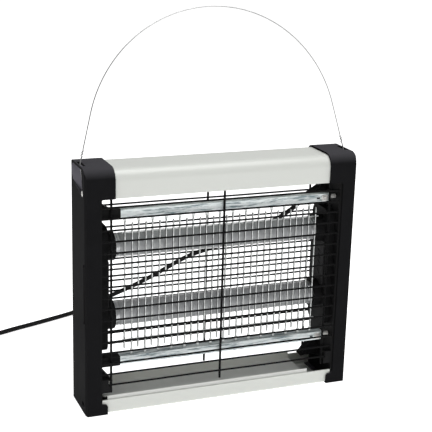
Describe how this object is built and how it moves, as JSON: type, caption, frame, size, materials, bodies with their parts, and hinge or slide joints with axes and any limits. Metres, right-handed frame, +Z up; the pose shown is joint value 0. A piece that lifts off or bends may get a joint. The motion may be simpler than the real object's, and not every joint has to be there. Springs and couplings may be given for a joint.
{
  "type": "electric insect killer",
  "caption": "Freestanding electric insect killer: two fluorescent tubes behind a high-voltage rod grid and wire guards between black end cheeks, with a wire hanger, catch tray and mains cord.",
  "frame": {"origin": "middle of the surface the cheeks and the bottom channel stand on", "axes": "+X towards the cheek that the cord leaves, +Y to the back, +Z up"},
  "size_m": [0.4435, 0.2928, 0.4166],
  "materials": {
    "black_cheek": "fine satin moulding",
    "black_inner": "satin moulding",
    "white_sheet": "white powder coat, slightly warm",
    "grey_sheet": "plain sheet",
    "black_wire": "black dipped wire",
    "zinc": "galvanised, streaked",
    "rods": "bright wire",
    "black_socket": "satin moulding",
    "bright_screws": "bright zinc",
    "brass": "plain brass",
    "white_rotor": "moulded",
    "lamp_glass": "coated glass, read as a milky grey tube",
    "lamp_cap": "plain",
    "vent_grey": "satin moulding",
    "spring_wire": "drawn steel wire",
    "ballast": "varnished laminations",
    "transformer": "potted block",
    "starter": "moulded can",
    "board": "laminate",
    "capacitor": "dipped",
    "terminal_plastic": "moulded",
    "wire_red": "insulation",
    "cord_black": "smooth black sheath",
    "tie_black": "coated tie",
    "nickel": "nickel plate"
  },
  "bodies": {
    "housing": {"left_cheek": "black_cheek", "right_cheek": "black_cheek", "left_bracket": "black_inner", "right_bracket": "black_inner", "top_housing": "white_sheet", "housing_base": "white_sheet", "bottom_channel": "white_sheet", "tray_supports": "grey_sheet", "front_guard": "black_wire", "rear_guard": "black_wire", "front_guard_posts": "black_wire", "rear_guard_posts": "black_wire", "upper_hv_bar": "zinc", "lower_hv_bar": "zinc", "upper_rods": "rods", "lower_rods": "rods", "upper_insulator": "black_socket", "lower_insulator": "black_socket", "terminal_screws": "bright_screws", "terminal_studs": "bright_screws", "socket_upper_left": "black_socket", "socket_upper_right": "black_socket", "socket_lower_left": "black_socket", "socket_lower_right": "black_socket", "left_vent_panel": "vent_grey", "right_vent_panel": "vent_grey", "wire_screws": "bright_screws", "foot_screws": "bright_screws", "left_ballast": "ballast", "right_ballast": "ballast", "hv_transformer": "transformer", "starters": "starter", "circuit_board": "board", "board_parts": "capacitor", "terminal_block": "terminal_plastic", "wiring": "wire_red", "strain_relief": "cord_black", "cord": "cord_black", "cord_coil": "cord_black", "cord_tie": "tie_black", "plug_body": "cord_black", "plug_pins": "nickel"},
    "tray": {"catch_tray": "grey_sheet"},
    "bail": {"hanging_wire": "spring_wire"},
    "lamp_upper": {"upper_tube": "lamp_glass", "upper_lamp_caps": "lamp_cap", "upper_lamp_pins": "brass", "rotor_upper_left": "white_rotor", "rotor_upper_right": "white_rotor"},
    "lamp_lower": {"lower_tube": "lamp_glass", "lower_lamp_caps": "lamp_cap", "lower_lamp_pins": "brass", "rotor_lower_left": "white_rotor", "rotor_lower_right": "white_rotor"}
  },
  "joints": [
    {"name": "tray_slide", "type": "slide", "parent": "housing", "child": "tray", "axis": [1, 0, 0], "range_m": [-0.0055, 0.0275]},
    {"name": "bail_swing", "type": "hinge", "parent": "housing", "child": "bail", "pos_m": [0, -0.0152, 0.237], "axis": [1, 0, 0], "range_deg": [-15, 14]},
    {"name": "upper_lamp_twist", "type": "hinge", "parent": "housing", "child": "lamp_upper", "pos_m": [0, -0.0005, 0.17605], "axis": [1, 0, 0], "range_deg": [0, 90]},
    {"name": "lower_lamp_twist", "type": "hinge", "parent": "housing", "child": "lamp_lower", "pos_m": [0, -0.0005, 0.10045], "axis": [1, 0, 0], "range_deg": [0, 90]}
  ]
}
